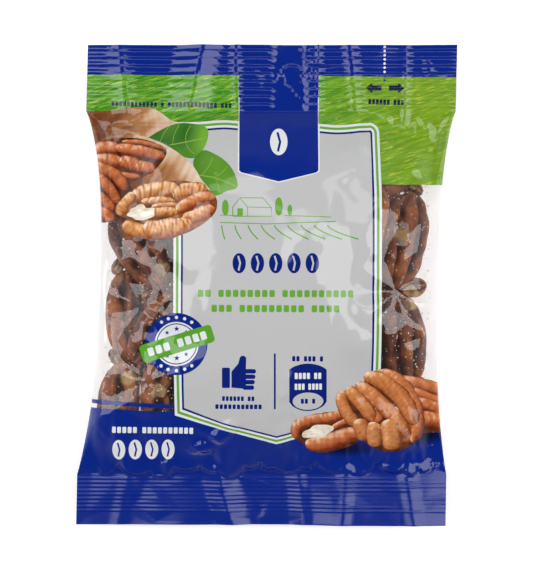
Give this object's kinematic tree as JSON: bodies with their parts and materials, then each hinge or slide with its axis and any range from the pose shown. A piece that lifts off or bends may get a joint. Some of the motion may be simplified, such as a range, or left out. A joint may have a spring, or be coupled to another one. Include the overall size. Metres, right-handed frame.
{
  "type": "bag of pecan halves",
  "caption": "Sealed clear pillow bag of shelled pecan halves, printed in blue and green, lying on its back.",
  "frame": {"origin": "the middle of the bag's underside, on the surface it lies on", "axes": "+Y towards the header seal, +Z out of the printed front, +X to the right seen from the front"},
  "size_m": [0.1235, 0.156, 0.0275],
  "materials": {
    "clear_film": "glossy clear laminate, printed on its inner face",
    "printed_film": "glossy laminate, printed blue and green, ribbed by the seal jaws",
    "pecan_kernel": "satin brown skin over cream flesh"
  },
  "bodies": {
    "root": {"film_tube": "clear_film", "header_seal": "printed_film", "foot_seal": "printed_film", "back_fin_seal": "clear_film", "pecan_half_01": "pecan_kernel", "pecan_half_02": "pecan_kernel", "pecan_half_03": "pecan_kernel", "pecan_half_04": "pecan_kernel", "pecan_half_05": "pecan_kernel", "pecan_half_06": "pecan_kernel", "pecan_half_07": "pecan_kernel", "pecan_half_08": "pecan_kernel", "pecan_half_09": "pecan_kernel", "pecan_half_10": "pecan_kernel", "pecan_half_11": "pecan_kernel", "pecan_half_12": "pecan_kernel", "pecan_half_13": "pecan_kernel", "pecan_half_14": "pecan_kernel", "pecan_half_15": "pecan_kernel", "pecan_half_16": "pecan_kernel", "pecan_half_17": "pecan_kernel", "pecan_half_18": "pecan_kernel", "pecan_half_19": "pecan_kernel", "pecan_half_20": "pecan_kernel", "pecan_half_21": "pecan_kernel", "pecan_half_22": "pecan_kernel", "pecan_half_23": "pecan_kernel", "pecan_half_24": "pecan_kernel", "pecan_half_25": "pecan_kernel", "pecan_half_26": "pecan_kernel", "pecan_half_27": "pecan_kernel", "pecan_half_28": "pecan_kernel", "pecan_half_29": "pecan_kernel", "pecan_half_30": "pecan_kernel", "pecan_half_31": "pecan_kernel", "pecan_half_32": "pecan_kernel", "pecan_half_33": "pecan_kernel", "pecan_half_34": "pecan_kernel"}
  },
  "joints": []
}
